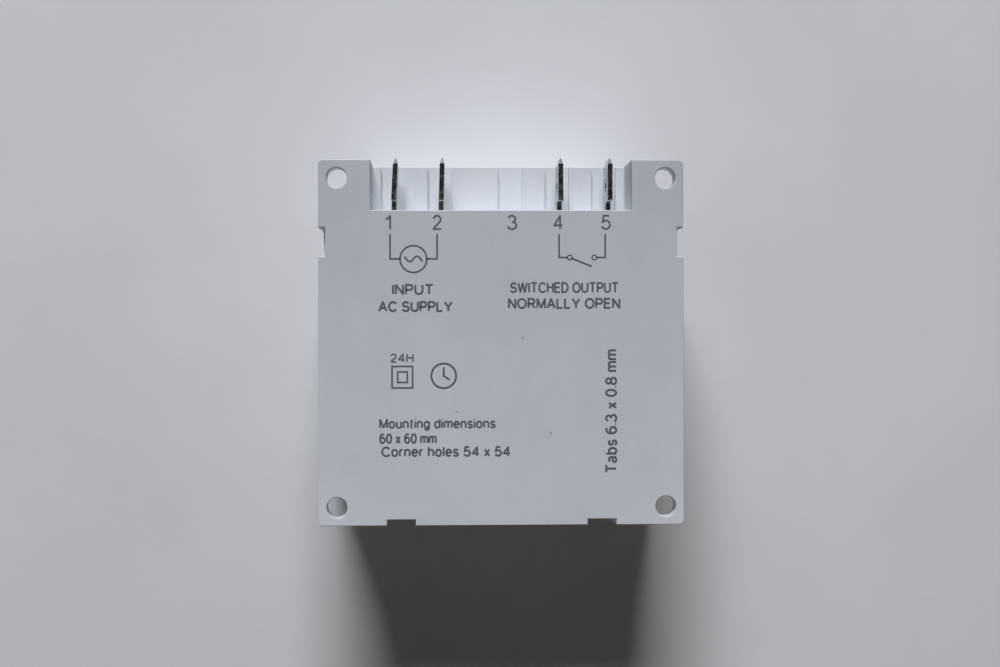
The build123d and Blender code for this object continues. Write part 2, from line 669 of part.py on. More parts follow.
COIL_Z = 8.6
CORE_RADIUS = 1.7
BOBBIN_X = (-11.7, 2.5)
FLANGE = 0.8


def relay_bobbin():
    """The coil former: a tube between two square flanges."""
    x0, x1 = BOBBIN_X
    bobbin = rod_along("X", (x0 + x1) / 2, 0, COIL_Z, CORE_RADIUS + 0.65, x1 - x0)
    for start in (x0, x1 - FLANGE):
        bobbin += block(start, start + FLANGE, -4.9, 4.9, 3.7, 13.5)
    return bobbin - rod_along("X", 0, 0, COIL_Z, CORE_RADIUS + 0.02, 40)


def relay_winding():
    x0, x1 = BOBBIN_X
    length = x1 - x0 - 2 * FLANGE - 0.1
    coil = rod_along("X", (x0 + x1) / 2, 0, COIL_Z, 4.5, length)
    return coil - rod_along("X", 0, 0, COIL_Z, CORE_RADIUS + 0.7, 40)


def relay_core():
    """The iron core with its wider pole face at the armature."""
    core = rod_along("X", (-12.0 + 4.1) / 2, 0, COIL_Z, CORE_RADIUS, 16.1)
    return core + rod_along("X", -11.93, 0, COIL_Z, 3.2, 0.44)


def relay_yoke():
    """The bent iron strip that joins the core's far end to the armature's hinge."""
    yoke = block(-12.75, 4.1, -4.4, 4.4, 2.4, 3.6) + block(2.6, 4.1, -4.4, 4.4, 3.6, 12.6)
    return yoke - rod_along("X", 4, 0, COIL_Z, CORE_RADIUS + 0.02, 8)


def relay_armature():
    """The hinged iron plate that the core pulls in."""
    x, z = ARMATURE_PIVOT
    plate = block(x - 0.95, x, -4.2, 4.2, z - 0.4, 14.4)
    return plate + rod_along("Y", x, 0, z, 0.12, 8.4)


def relay_card():
    """The sliding plastic card that carries the armature's motion to the contact leaf."""
    card = block(ARMATURE_PIVOT[0] + 0.06, LEAF_X - 0.21, -3.0, 3.0, *CARD_Z)
    card -= block(-9.0, 1.0, -1.2, 1.2, *CARD_Z)
    return card


def relay_contact_leaf():
    """The springy strip with the moving contact, from its root in the base to the card."""
    leaf = block(LEAF_X - 0.15, LEAF_X + 0.15, -2.6, 2.6, LEAF_PIVOT_Z, 14.8)
    leaf += rod_along("Y", LEAF_X, 0, LEAF_PIVOT_Z, 0.15, 5.2)
    return leaf + rod_along("X", LEAF_X + 0.45, 0, 9.5, 1.5, 0.6)


def relay_common_pin():
    """The fixed foot of the moving contact, with its pin through the board."""
    foot = block(LEAF_X - 0.25, LEAF_X + 0.25, -3.0, 3.0, 0.5, BASE_TOP)
    return foot + block(LEAF_X - 0.25, LEAF_X + 0.25, -0.9, 0.9, -BOARD - 0.6, 0.5)


def relay_fixed_contact():
    """The fixed contact on its stiff blade, with its pin through the board."""
    blade = block(9.25, 9.85, -2.8, 2.8, 0.5, 11.6)
    blade += rod_along("X", 9.08, 0, 9.5, 1.5, 0.6)
    return blade + block(9.25, 9.85, -0.9, 0.9, -BOARD - 0.6, 0.5)


def pin_holes():
    """Holes in the power board for the wire leads and relay pins, as x, y and radius."""
    cx, cy = RELAY_CENTRE
    holes = [(cx + x, cy - y, 0.5) for x, y in relay_coil_pin_places()]
    holes += [(cx + LEAF_X, cy, 1.05), (cx + 9.55, cy, 1.05)]
    holes += [(x, y, 0.5) for x, y in FILM_LEADS]
    rows = [([CAN_PLACE], 2 * CAN_LEAD, 0.45), ([VARISTOR_PLACE], 2 * VARISTOR_LEAD, 0.5),
            ([FUSE_PLACE], FUSE_SPAN, 0.5), (DIODE_PLACES, DIODE_SPAN, 0.5),
            (RESISTOR_PLACES, RESISTOR_SPAN, 0.4), ([TRANSISTOR_PLACE], 2 * TRANSISTOR_PITCH, 0.4)]
    for places, span, radius in rows:
        holes += [(x + s * span / 2, y, radius) for x, y in places for s in (-1, 1)]
    holes.append((*TRANSISTOR_PLACE, 0.4))
    return holes


# ---------------------------------------------------------------- everything, by node name
def nodes():
    made = {
        "back_cover": back_cover(),
        "front_case": front_case(),
        "front_label": front_label(),
        "display_window": display_window(),
        "lcd_front_polariser": lcd_front_polariser(),
        "lcd_front_glass": lcd_front_glass(),
        "lcd_rear_glass": lcd_rear_glass(),
        "lcd_reflector": lcd_reflector(),
        "lcd_holder": lcd_holder(),
        "contact_strip": contact_strip(),
        "display_board": display_board(),
        "switch_bodies": switch_bodies(),
        "status_led": status_led(),
        "controller_chip": controller_chip(),
        "watch_crystal": watch_crystal(),
        "backup_battery": backup_battery(),
        "battery_tabs": battery_tabs(),
        "display_board_screws": screws(DISPLAY_SCREWS, DISPLAY_BOARD_TOP),
        "link_pins": link_pins(),
        "link_housing": link_housing(),
        "power_board": power_board(),
        "power_board_screws": screws(POWER_SCREWS, POWER_BOARD_TOP),
        "film_capacitor": film_capacitor(),
        "filter_capacitor": filter_capacitor(),
        "varistor": varistor(),
        "fuse_resistor": fuse_resistor(),
        "rectifier_diodes": rectifier_diodes(),
        "drive_transistor": drive_transistor(),
        "bias_resistors": bias_resistors(),
    }
    for number in TERMINAL_PLACES:
        made[f"terminal_{number}"] = terminal(number)
    for name, (x, y, _, _) in KEYS.items():
        made[f"key_{name}"] = key(name)
        made[f"plunger_{name}"] = plunger(x, y)
    relay = {
        "relay_cover": relay_cover,
        "relay_base": relay_base,
        "relay_coil_pins": relay_coil_pins,
        "relay_bobbin": relay_bobbin,
        "relay_winding": relay_winding,
        "relay_core": relay_core,
        "relay_yoke": relay_yoke,
        "relay_armature": relay_armature,
        "relay_card": relay_card,
        "relay_contact_leaf": relay_contact_leaf,
        "relay_common_pin": relay_common_pin,
        "relay_fixed_contact": relay_fixed_contact,
    }
    for name, make in relay.items():
        shape = make()
        pieces = shape if isinstance(shape, list) else [shape]
        made[name] = [place_relay(piece) for piece in pieces]
    return made


def write(name, shape):
    """One STEP file for one node, holding only its closed solids."""
    pieces = shape if isinstance(shape, list) else [shape]
    solids = [solid for piece in pieces for solid in piece.solids()]
    export_step(Compound(children=solids) if len(solids) > 1 else solids[0], f"parts/{name}.step")


os.makedirs("parts", exist_ok=True)
for node_name, node_shape in nodes().items():
    write(node_name, node_shape)
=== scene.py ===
"""Looks, camera and light for the weekly timer module.

Lengths are millimetres in the part's frame where nothing else is said.
"""
import json
from math import copysign, cos, pi, radians, sin

import bmesh
import bpy
from mathutils import Matrix, Vector


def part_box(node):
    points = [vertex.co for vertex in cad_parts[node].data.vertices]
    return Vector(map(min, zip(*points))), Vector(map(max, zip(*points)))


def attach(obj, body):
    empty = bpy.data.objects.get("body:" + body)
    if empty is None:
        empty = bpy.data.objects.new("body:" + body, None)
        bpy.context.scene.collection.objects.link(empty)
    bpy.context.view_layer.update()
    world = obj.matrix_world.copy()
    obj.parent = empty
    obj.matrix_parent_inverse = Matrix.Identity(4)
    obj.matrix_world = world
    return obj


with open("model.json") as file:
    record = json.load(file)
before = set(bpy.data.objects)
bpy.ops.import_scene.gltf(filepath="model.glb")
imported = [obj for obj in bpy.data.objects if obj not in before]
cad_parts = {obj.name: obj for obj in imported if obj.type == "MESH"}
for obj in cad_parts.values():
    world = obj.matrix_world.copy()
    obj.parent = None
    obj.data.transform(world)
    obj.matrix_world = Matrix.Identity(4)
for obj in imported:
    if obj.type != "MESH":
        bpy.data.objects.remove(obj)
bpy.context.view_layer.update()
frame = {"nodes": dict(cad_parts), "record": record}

MM = 0.001
NODES = frame["nodes"]
SLOT_OF = {part["node"]: part["material_slot"] for part in frame["record"]["subparts"]}
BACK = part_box("back_cover")[1].z / MM
LABEL_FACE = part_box("front_label")[0].z / MM


# ---------------------------------------------------------------- shader helpers
NOISE_LOW, NOISE_HIGH = 0.3, 0.7  # a noise texture's values lie mostly between these


def linear(r, g, b):
    """A linear colour from 8-bit display values."""
    def one(v):
        v /= 255
        return v / 12.92 if v <= 0.04045 else ((v + 0.055) / 1.055) ** 2.4
    return (one(r), one(g), one(b), 1.0)


class Shader:
    """A node material under construction: a Principled surface and shortcuts to feed it."""

    def __init__(self, name):
        self.material = bpy.data.materials.new(name)
        self.material.use_nodes = True
        self.tree = self.material.node_tree
        self.surface = self.tree.nodes["Principled BSDF"]
        self.coords = self.add("ShaderNodeTexCoord").outputs["Object"]

    def add(self, kind, **settings):
        node = self.tree.nodes.new(kind)
        for key, value in settings.items():
            setattr(node, key, value)
        return node

    def link(self, source, target):
        self.tree.links.new(source, target)

    def set(self, **values):
        """Uniform values for the surface, by socket name with _ for each space."""
        for key, value in values.items():
            self.surface.inputs[key.replace("_", " ")].default_value = value
        return self

    def stretched(self, scale):
        """Object coordinates in millimetres, scaled along each axis."""
        mapping = self.add("ShaderNodeMapping")
        mapping.inputs["Scale"].default_value = [s / MM for s in scale]
        self.link(self.coords, mapping.inputs["Vector"])
        return mapping.outputs["Vector"]

    def axes(self):
        """Object coordinates in metres, as one output for each axis."""
        split = self.add("ShaderNodeSeparateXYZ")
        self.link(self.coords, split.inputs["Vector"])
        return split.outputs

    def noise(self, per_mm, detail=3.0, axes=(1, 1, 1)):
        """Noise with about per_mm features to a millimetre, times the share given for each axis."""
        node = self.add("ShaderNodeTexNoise")
        node.inputs["Scale"].default_value = 1.0
        node.inputs["Detail"].default_value = detail
        node.inputs["Roughness"].default_value = 0.55
        self.link(self.stretched([per_mm * a for a in axes]), node.inputs["Vector"])
        return node.outputs["Fac"]

    def tone(self, source, dark, light, low=NOISE_LOW, high=NOISE_HIGH):
        """A colour that goes from dark to light as the source goes from low to high."""
        node = self.add("ShaderNodeValToRGB")
        for element, place, colour in zip(node.color_ramp.elements, (low, high), (dark, light)):
            element.position = place
            element.color = colour
        self.link(source, node.inputs["Fac"])
        return node.outputs["Color"]

    def span(self, source, low, high, to_low=0.0, to_high=1.0):
        """A number that goes from to_low to to_high as the source goes from low to high."""
        node = self.add("ShaderNodeMapRange")
        values = {"From Min": low, "From Max": high, "To Min": to_low, "To Max": to_high}
        for key, value in values.items():
            node.inputs[key].default_value = value
        self.link(source, node.inputs["Value"])
        return node.outputs["Result"]

    def math(self, operation, *sources):
        node = self.add("ShaderNodeMath", operation=operation)
        for source, socket in zip(sources, node.inputs):
            self.link(source, socket)
        return node.outputs["Value"]

    def colour(self, source):
        self.link(source, self.surface.inputs["Base Color"])

    def rough(self, noise, low, high):
        """Roughness that wanders from low to high with a noise."""
        self.link(self.span(noise, NOISE_LOW, NOISE_HIGH, low, high),
                  self.surface.inputs["Roughness"])

    def bump(self, *layers):
        """Height layers as (source, height in millimetres), one on top of another."""
        previous = None
        for source, height in layers:
            node = self.add("ShaderNodeBump")
            node.inputs["Strength"].default_value = 1.0
            node.inputs["Distance"].default_value = height * MM
            self.link(source, node.inputs["Height"])
            if previous is not None:
                self.link(previous, node.inputs["Normal"])
            previous = node.outputs["Normal"]
        self.link(previous, self.surface.inputs["Normal"])


# ---------------------------------------------------------------- materials
FLOW_MARK = (0.975, 0.975, 0.975, 1)  # a flow mark's share of the plastic's colour
WHOLE = (1, 1, 1, 1)
DISH = 1100.0  # so that the cover's face turns 3.8 degrees at 30 mm from its middle
CORNER_RISE = 0.17
# where the crease across a corner starts, and the corner itself, as |X| + |Y|
CREASE, CORNER = 41.0, 60.0
# share of the way to the corner, share of the rise: both ends, and two points between them
RISE_ENDS = ((0.0, 0.08), (1.0, 1.0))
RISE_BETWEEN = ((0.12, 0.07), (0.27, 0.0))


def dish(s):
    """The plate sinks a little towards its middle as it cools: its height grows with Y squared."""
    y = s.axes()["Y"]
    return s.math("MULTIPLY", y, y)


def bent_corners(s):
    """Each corner is bent up a little beyond a shallow crease: height 1 is the corner's own."""
    axes = s.axes()
    out = s.math("ADD", s.math("ABSOLUTE", axes["X"]), s.math("ABSOLUTE", axes["Y"]))
    profile = s.add("ShaderNodeFloatCurve")
    curve = profile.mapping.curves[0]
    for point, place in zip(curve.points, RISE_ENDS):
        point.location = place
    for place in RISE_BETWEEN:
        curve.points.new(*place)
    profile.mapping.update()
    s.link(s.span(out, CREASE * MM, CORNER * MM), profile.inputs["Value"])
    return profile.outputs["Value"]


def housing_plastic(name, dark, light):
    """Off-white moulded plastic: patches, flow marks, fine grain and gently bent corners."""
    s = Shader(name).set(IOR=1.49)
    patches = s.tone(s.noise(0.06, detail=4.0), dark, light)
    flow = s.tone(s.noise(0.5, axes=(1.0, 0.25, 1.0)), FLOW_MARK, WHOLE)
    mix = s.add("ShaderNodeMix", data_type="RGBA", blend_type="MULTIPLY")
    mix.inputs["Factor"].default_value = 1.0
    s.link(patches, mix.inputs["A"])
    s.link(flow, mix.inputs["B"])
    s.colour(mix.outputs["Result"])
    s.rough(s.noise(0.8), 0.44, 0.56)
    s.bump((dish(s), DISH), (bent_corners(s), CORNER_RISE),
           (s.noise(0.09, detail=2.0), 0.04), (s.noise(5.0), 0.006))
    return s.material


def tin_plate():
    """Tin-plated sheet: rolled along its length, smooth between dull patches and pits, and darkened
    in patches: partly stains, partly painted dark reflections of the room.
    """
    s = Shader("tinned_brass").set(Metallic=1.0)
    stains_and_painted_reflection = s.noise(2.2, detail=4.0)
    # Painted reflection: the tin's colour is darker than bare tin, in patches, standing in for the
    # dim room it mirrors as well as for stains.
    s.colour(s.tone(stains_and_painted_reflection, linear(116, 118, 124), linear(186, 188, 192), 0.34, 0.62))
    s.rough(s.noise(1.6, detail=4.0), 0.10, 0.36)
    s.bump((s.noise(1.1, axes=(1.0, 0.4, 1.0)), 0.05), (s.noise(6.0), 0.008))
    return s.material


def circuit_board():
    """Solder resist over copper tracks, which show as raised lighter lines."""
    s = Shader("circuit_board")
    tracks = s.add("ShaderNodeTexBrick")
    for key, value in (("Scale", 1.0), ("Mortar Size", 0.09), ("Brick Width", 2.54),
                       ("Row Height", 1.27)):
        tracks.inputs[key].default_value = value
    s.link(s.stretched((1, 1, 1)), tracks.inputs["Vector"])
    s.colour(s.tone(tracks.outputs["Fac"], linear(20, 84, 48), linear(36, 112, 66), 0.0, 1.0))
    s.rough(s.noise(1.0), 0.28, 0.4)
    s.bump((tracks.outputs["Fac"], 0.03), (s.noise(4.0), 0.004))
    return s.material


def winding():
    """Enamelled copper wire, wound in layers along the bobbin."""
    s = Shader("copper_winding").set(Metallic=1.0)
    turns = s.add("ShaderNodeTexWave", bands_direction="X")
    turns.inputs["Scale"].default_value = 1.6
    turns.inputs["Distortion"].default_value = 0.6
    s.link(s.stretched((1, 1, 1)), turns.inputs["Vector"])
    s.colour(s.tone(turns.outputs["Fac"], linear(120, 52, 24), linear(200, 110, 62), 0.2, 0.8))
    s.rough(s.noise(1.0), 0.28, 0.4)
    s.bump((turns.outputs["Fac"], 0.08))
    return s.material


def glass(name, colour, alpha):
    """A thin clear part: mostly see-through, with a smooth reflecting surface."""
    s = Shader(name).set(Alpha=alpha, IOR=1.5)
    s.colour(s.tone(s.noise(0.2), colour, tuple(min(1, 1.03 * c) for c in colour)))
    s.rough(s.noise(0.6), 0.03, 0.07)
    s.bump((s.noise(0.3, detail=2.0), 0.002))
    return s.material


def indicator_lens():
    """Translucent red plastic."""
    s = Shader("indicator_lens").set(Transmission_Weight=0.55, IOR=1.5)
    s.colour(s.tone(s.noise(0.6), linear(196, 26, 20), linear(222, 44, 34)))
    s.rough(s.noise(1.0), 0.1, 0.2)
    s.bump((s.noise(3.0), 0.002))
    return s.material


def ink(name, colour):
    """Pad-printed ink, a little thinner and greyer in places."""
    s = Shader(name)
    thin = tuple(min(1.0, 1.35 * c) for c in colour[:3]) + (1.0,)
    s.colour(s.tone(s.noise(2.4, detail=4.0), colour, thin, 0.35, 0.75))
    s.rough(s.noise(2.0), 0.42, 0.6)
    s.bump((s.noise(5.0), 0.003))
    return s.material


def varied(name, dark, light, per_mm, rough, grain=(4.0, 0.004)):
    """A moulded or lacquered surface: two near colours in patches, uneven gloss and a grain."""
    s = Shader(name)
    s.colour(s.tone(s.noise(per_mm), linear(*dark), linear(*light)))
    s.rough(s.noise(per_mm * 3), *rough)
    s.bump((s.noise(grain[0], detail=4.0), grain[1]))
    return s.material


# dark and light colour, patches to a millimetre, least and most roughness, and for some surfaces
# the grain: how many to a millimetre and how high
MOULDED = {
    "label_film": ((62, 70, 78), (70, 78, 87), 0.1, (0.45, 0.55), (6.0, 0.004)),
    "reflector_film": ((160, 170, 148), (176, 186, 164), 0.4, (0.3, 0.45)),
    "dark_moulding": ((22, 22, 24), (32, 32, 35), 0.3, (0.4, 0.55)),
    "contact_rubber": ((50, 46, 44), (96, 90, 84), 6.0, (0.6, 0.8)),
    "black_resin": ((18, 18, 19), (30, 30, 31), 0.8, (0.35, 0.6)),
    "pale_moulding": ((205, 198, 176), (220, 214, 194), 0.3, (0.4, 0.55)),
    "relay_blue": ((26, 66, 138), (34, 78, 154), 0.2, (0.22, 0.34)),
    "capacitor_yellow": ((214, 172, 34), (226, 186, 52), 0.3, (0.25, 0.4)),
    "capacitor_sleeve": ((24, 28, 46), (34, 40, 62), 0.5, (0.2, 0.32)),
    "varistor_coat": ((30, 84, 160), (40, 98, 176), 0.5, (0.25, 0.45), (2.0, 0.03)),
    "resistor_coat": ((142, 154, 150), (164, 174, 170), 1.0, (0.5, 0.7), (3.0, 0.02)),
    "key_rubber_grey": ((196, 199, 202), (206, 209, 212), 0.3, (0.4, 0.55)),
    "key_green": ((44, 132, 84), (52, 144, 94), 0.3, (0.4, 0.55)),
    "key_red": ((178, 44, 38), (192, 54, 46), 0.3, (0.4, 0.55)),
    "plunger_white": ((224, 224, 220), (234, 234, 230), 0.5, (0.35, 0.5)),
}


def brushed(name, dark, light):
    """Bare metal with fine scratches along Y."""
    along = (1.0, 0.1, 1.0)
    s = Shader(name).set(Metallic=1.0)
    s.colour(s.tone(s.noise(1.5), linear(*dark), linear(*light)))
    s.rough(s.noise(2.5, detail=4.0, axes=along), 0.25, 0.4)
    s.bump((s.noise(6.0, axes=along), 0.004))
    return s.material


# dark and light colour
BRUSHED = {
    "steel": ((170, 170, 168), (200, 200, 198)),
    "relay_iron": ((150, 150, 150), (182, 182, 182)),
    "contact_brass": ((190, 152, 84), (214, 178, 108)),
}


def record_materials():
    """A finished material for each slot of the record; the case gets its cover's plastic painted
    paler, as painted light for the brighter recess floor.
    """
    made = {
        "housing_plastic": housing_plastic("housing_plastic", linear(207, 210, 216),
                                           linear(214, 216, 222)),
        "tinned_brass": tin_plate(),
        "circuit_board": circuit_board(),
        "copper_winding": winding(),
        "clear_window": glass("clear_window", linear(225, 232, 232), 0.04),
        "polariser_film": glass("polariser_film", linear(120, 132, 112), 0.35),
        "cell_glass": glass("cell_glass", linear(190, 206, 196), 0.25),
        "indicator_lens": indicator_lens(),
        **{name: varied(name, *looks) for name, looks in MOULDED.items()},
        **{name: brushed(name, *looks) for name, looks in BRUSHED.items()},
    }
    for name, obj in NODES.items():
        obj.data.materials.clear()
        obj.data.materials.append(made[SLOT_OF[name]])
    case = NODES["front_case"].data.materials
    case.clear()
    # the cover's own plastic, painted paler: painted light standing in for the extra light on the
    # recess floor
    case.append(housing_plastic("case_plastic_painted_paler", linear(223, 226, 231), linear(230, 232, 236)))


# ---------------------------------------------------------------- flat printed shapes
INK_LIFT = 0.012  # from a printed face to the ink on it
LAYER = 0.001  # from one stroke of a sign to the next stroke, which lies on it
MITRE_LIMIT = 0.5  # a corner reaches out to half the stroke's width over this, at most
SAME_POINT = 1e-6


def flat_piece(name, bm, material, body):
    """Turns a finished bmesh into a piece that rides on a body."""
    mesh = bpy.data.meshes.new(name)
    bm.to_mesh(mesh)
    bm.free()
    obj = bpy.data.objects.new(name, mesh)
    bpy.context.scene.collection.objects.link(obj)
    mesh.materials.append(material)
    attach(obj, body)


def stroke(bm, points, width, closed=False, level=0.0):
    """Adds a flat line of even width along the points, with mitred corners, at a level."""
    points = [Vector(p) for p in points]
    points = [p for i, p in enumerate(points)
              if i == 0 or (p - points[i - 1]).length > SAME_POINT]
    count = len(points)
    sides = []
    for i, p in enumerate(points):
        before = points[i - 1] if closed or i > 0 else None
        after = points[(i + 1) % count] if closed or i < count - 1 else None
        a = (p - before).normalized() if before is not None else (after - p).normalized()
        b = (after - p).normalized() if after is not None else a
        normal = Vector((-(a.y + b.y), a.x + b.x)).normalized()
        reach = width / 2 / max(MITRE_LIMIT, normal.dot(Vector((-a.y, a.x))))
        sides.append([bm.verts.new((*(p + s * reach * normal), level)) for s in (-1, 1)])
    for i in range(count if closed else count - 1):
        a, b = sides[i], sides[(i + 1) % count]
        bm.faces.new((a[0], b[0], b[1], a[1]))


def ring(bm, x, y, radius, width, steps=72):
    """Adds a circle drawn as a closed stroke."""
    stroke(bm, [(x + radius * cos(2 * pi * i / steps), y + radius * sin(2 * pi * i / steps))
                for i in range(steps)], width, closed=True)


def frame_line(bm, x0, x1, y0, y1, width):
    """Adds a rectangle drawn as a closed stroke."""
    stroke(bm, [(x0, y0), (x1, y0), (x1, y1), (x0, y1)], width, closed=True)


def to_metres(bm, z, mirrored=False):
    """Millimetres to metres at height z; mirrored legends are read from below."""
    flip = -1 if mirrored else 1
    for v in bm.verts:
        v.co = Vector((flip * v.co.x, v.co.y, z + flip * v.co.z)) * MM
    for face in bm.faces:
        face.normal_update()
    wrong = [f for f in bm.faces if (f.normal.z < 0) != mirrored]
    bmesh.ops.reverse_faces(bm, faces=wrong)


def arc(x, y, radius_x, radius_y, start, end, steps=14):
    """Points on an ellipse from one angle to another, in degrees."""
    angles = [radians(start + (end - start) * i / steps) for i in range(steps + 1)]
    return [(x + radius_x * cos(a), y + radius_y * sin(a)) for a in angles]


# ---------------------------------------------------------------- plain stroke lettering
ROUND = arc(0.27, 0.365, 0.27, 0.365, 0, 360, 24)  # the bowl of most small letters
# each sign: its width, and the middle lines of its strokes, for capitals one unit high
SIGNS = {
    " ": (0.12, []),
    ".": (0.0, [[(0, 0), (0, 0.10)]]),
    "0": (0.58, [arc(0.29, 0.5, 0.29, 0.5, 0, 360, 24)]),
    "1": (0.36, [[(0, 0.73), (0.18, 0.81), (0.34, 1.0), (0.34, 0)]]),
    "2": (0.60, [arc(0.29, 0.71, 0.27, 0.29, 170, -28) + [(0.10, 0.14), (0, 0), (0.60, 0)]]),
    "3": (0.62, [arc(0.29, 0.75, 0.25, 0.25, 165, -90), arc(0.29, 0.26, 0.32, 0.26, 90, -165)]),
    "4": (0.66, [[(0.48, 0), (0.48, 1), (0, 0.27), (0.66, 0.27)]]),
    "5": (0.60, [[(0.53, 1), (0.12, 1), (0.04, 0.47)] + arc(0.29, 0.32, 0.31, 0.32, 145, -160)]),
    "6": (0.60, [arc(0.30, 0.31, 0.29, 0.31, 0, 360, 24),
                 arc(0.31, 0.5, 0.30, 0.5, 52, 180) + [(0.01, 0.31)]]),
    "7": (0.58, [[(0, 1), (0.58, 1), (0.20, 0)]]),
    "8": (0.60, [arc(0.30, 0.76, 0.24, 0.24, 0, 360, 20), arc(0.30, 0.26, 0.30, 0.26, 0, 360, 24)]),
    "A": (0.78, [[(0, 0), (0.39, 1), (0.78, 0)], [(0.13, 0.34), (0.65, 0.34)]]),
    "C": (0.78, [arc(0.42, 0.5, 0.42, 0.5, 38, 322, 20)]),
    "D": (0.70, [[(0, 0), (0, 1), (0.27, 1)] + arc(0.27, 0.5, 0.43, 0.5, 90, -90) + [(0, 0)]]),
    "E": (0.62, [[(0.62, 1), (0, 1), (0, 0), (0.62, 0)], [(0, 0.52), (0.57, 0.52)]]),
    "G": (0.82, [arc(0.42, 0.5, 0.42, 0.5, 40, 330, 20) + [(0.80, 0.45), (0.46, 0.45)]]),
    "H": (0.68, [[(0, 0), (0, 1)], [(0.68, 0), (0.68, 1)], [(0, 0.53), (0.68, 0.53)]]),
    "I": (0.0, [[(0, 0), (0, 1)]]),
    "K": (0.68, [[(0, 0), (0, 1)], [(0.66, 1), (0, 0.36)], [(0.24, 0.58), (0.68, 0)]]),
    "L": (0.54, [[(0, 1), (0, 0), (0.54, 0)]]),
    "M": (0.80, [[(0, 0), (0, 1), (0.40, 0.04), (0.80, 1), (0.80, 0)]]),
    "N": (0.68, [[(0, 0), (0, 1), (0.68, 0), (0.68, 1)]]),
    "O": (0.86, [arc(0.43, 0.5, 0.43, 0.5, 0, 360, 28)]),
    "P": (0.62, [[(0, 0), (0, 1), (0.36, 1)] + arc(0.36, 0.73, 0.26, 0.27, 90, -90) + [(0, 0.46)]]),
    "R": (0.68, [[(0, 0), (0, 1), (0.38, 1)] + arc(0.38, 0.74, 0.25, 0.26, 90, -90) + [(0, 0.48)],
                 [(0.36, 0.48), (0.68, 0)]]),
    "S": (0.66, [arc(0.33, 0.74, 0.28, 0.26, 12, 245) + arc(0.33, 0.26, 0.32, 0.26, 72, -168)]),
    "T": (0.72, [[(0, 1), (0.72, 1)], [(0.36, 1), (0.36, 0)]]),
    "U": (0.68, [[(0, 1), (0, 0.34)] + arc(0.34, 0.34, 0.34, 0.34, 180, 360) + [(0.68, 1)]]),
    "W": (1.08, [[(0, 1), (0.27, 0), (0.54, 1), (0.81, 0), (1.08, 1)]]),
    "Y": (0.74, [[(0, 1), (0.37, 0.43), (0.74, 1)], [(0.37, 0.43), (0.37, 0)]]),
    "a": (0.52, [arc(0.25, 0.53, 0.21, 0.20, 160, 0) + [(0.46, 0.10), (0.52, 0)],
                 [(0.46, 0.42), (0.22, 0.37)] + arc(0.20, 0.18, 0.20, 0.18, 90, 300)
                 + [(0.46, 0.17)]]),
    "b": (0.54, [[(0, 1), (0, 0)], ROUND]),
    "d": (0.54, [[(0.54, 1), (0.54, 0)], ROUND]),
    "e": (0.54, [[(0.02, 0.38), (0.54, 0.38)] + arc(0.27, 0.365, 0.27, 0.365, 10, 318, 20)]),
    "g": (0.54, [ROUND, [(0.54, 0.73), (0.54, -0.02)] + arc(0.28, -0.02, 0.26, 0.24, 0, -155)]),
    "h": (0.50, [[(0, 1), (0, 0)],
                 [(0, 0.44)] + arc(0.25, 0.47, 0.25, 0.26, 180, 0) + [(0.50, 0)]]),
    "i": (0.0, [[(0, 0), (0, 0.73)], [(0, 0.90), (0, 1.0)]]),
    "l": (0.0, [[(0, 0), (0, 1)]]),
    "m": (0.84, [[(0, 0.73), (0, 0)], arc(0.21, 0.52, 0.21, 0.21, 180, 0) + [(0.42, 0)],
                 arc(0.63, 0.52, 0.21, 0.21, 180, 0) + [(0.84, 0)]]),
    "n": (0.50, [[(0, 0.73), (0, 0)],
                 [(0, 0.44)] + arc(0.25, 0.48, 0.25, 0.25, 180, 0) + [(0.50, 0)]]),
    "o": (0.54, [ROUND]),
    "r": (0.28, [[(0, 0.73), (0, 0)], arc(0.26, 0.43, 0.26, 0.29, 180, 82)]),
    "s": (0.46, [arc(0.23, 0.54, 0.20, 0.19, 15, 240) + arc(0.23, 0.18, 0.22, 0.18, 68, -168)]),
    "t": (0.28, [[(0.11, 0.96), (0.11, 0.14)] + arc(0.25, 0.14, 0.14, 0.14, 180, 270),
                 [(0, 0.73), (0.28, 0.73)]]),
    "u": (0.50, [[(0, 0.73), (0, 0.25)] + arc(0.25, 0.25, 0.25, 0.25, 180, 360),
                 [(0.50, 0.73), (0.50, 0)]]),
    "x": (0.46, [[(0, 0), (0.46, 0.73)], [(0, 0.73), (0.46, 0)]]),
}
SPACING = 0.27  # from one sign's last stroke to the next one's first, by the same unit
SHARP = -0.2  # a stroke is cut where the cosine of its turn is less than this
RUN_ON = 0.2  # how far a cut end runs on past the corner, as a share of the stroke's width


def split_sharp(points, extra):
    """Cuts a line of points where it turns back sharply, and lets both ends run on."""
    runs = [[Vector(points[0])]]
    for i in range(1, len(points)):
        runs[-1].append(Vector(points[i]))
        if i < len(points) - 1:
            a = (Vector(points[i]) - Vector(points[i - 1])).normalized()
            b = (Vector(points[i + 1]) - Vector(points[i])).normalized()
            if a.dot(b) < SHARP:
                runs[-1][-1] = Vector(points[i]) + extra * a
                runs.append([Vector(points[i]) - extra * b])
    return runs


def letters(bm, text, x0, x1, y0, y1, weight, turn=0.0):
    """Adds a line of stroke lettering that fills a box, from its feet to its capitals' tops.

    Turned by 90 degrees it reads upwards: the feet are then at x1, and the line starts at y0.
    """
    length = sum(SIGNS[sign][0] for sign in text) + SPACING * (len(text) - 1)
    reach, tall = (x1 - x0, y1 - y0) if turn == 0 else (y1 - y0, x1 - x0)
    start = Vector((x0, y0)) if turn == 0 else Vector((x1, y0))
    upright = Matrix.Rotation(turn, 2)
    pen = 0.0
    for sign in text:
        wide, strokes = SIGNS[sign]
        layer = 0
        for points in strokes:
            placed = [((pen + u) * (reach - weight) / length + weight / 2,
                       v * (tall - weight) + weight / 2) for u, v in points]
            closed = (Vector(points[0]) - Vector(points[-1])).length < SAME_POINT
            corners = [start + upright @ Vector(p) for p in (placed[:-1] if closed else placed)]
            for run in [corners] if closed else split_sharp(corners, RUN_ON * weight):
                stroke(bm, run, weight, closed, layer * LAYER)
                layer += 1
        pen += wide + SPACING


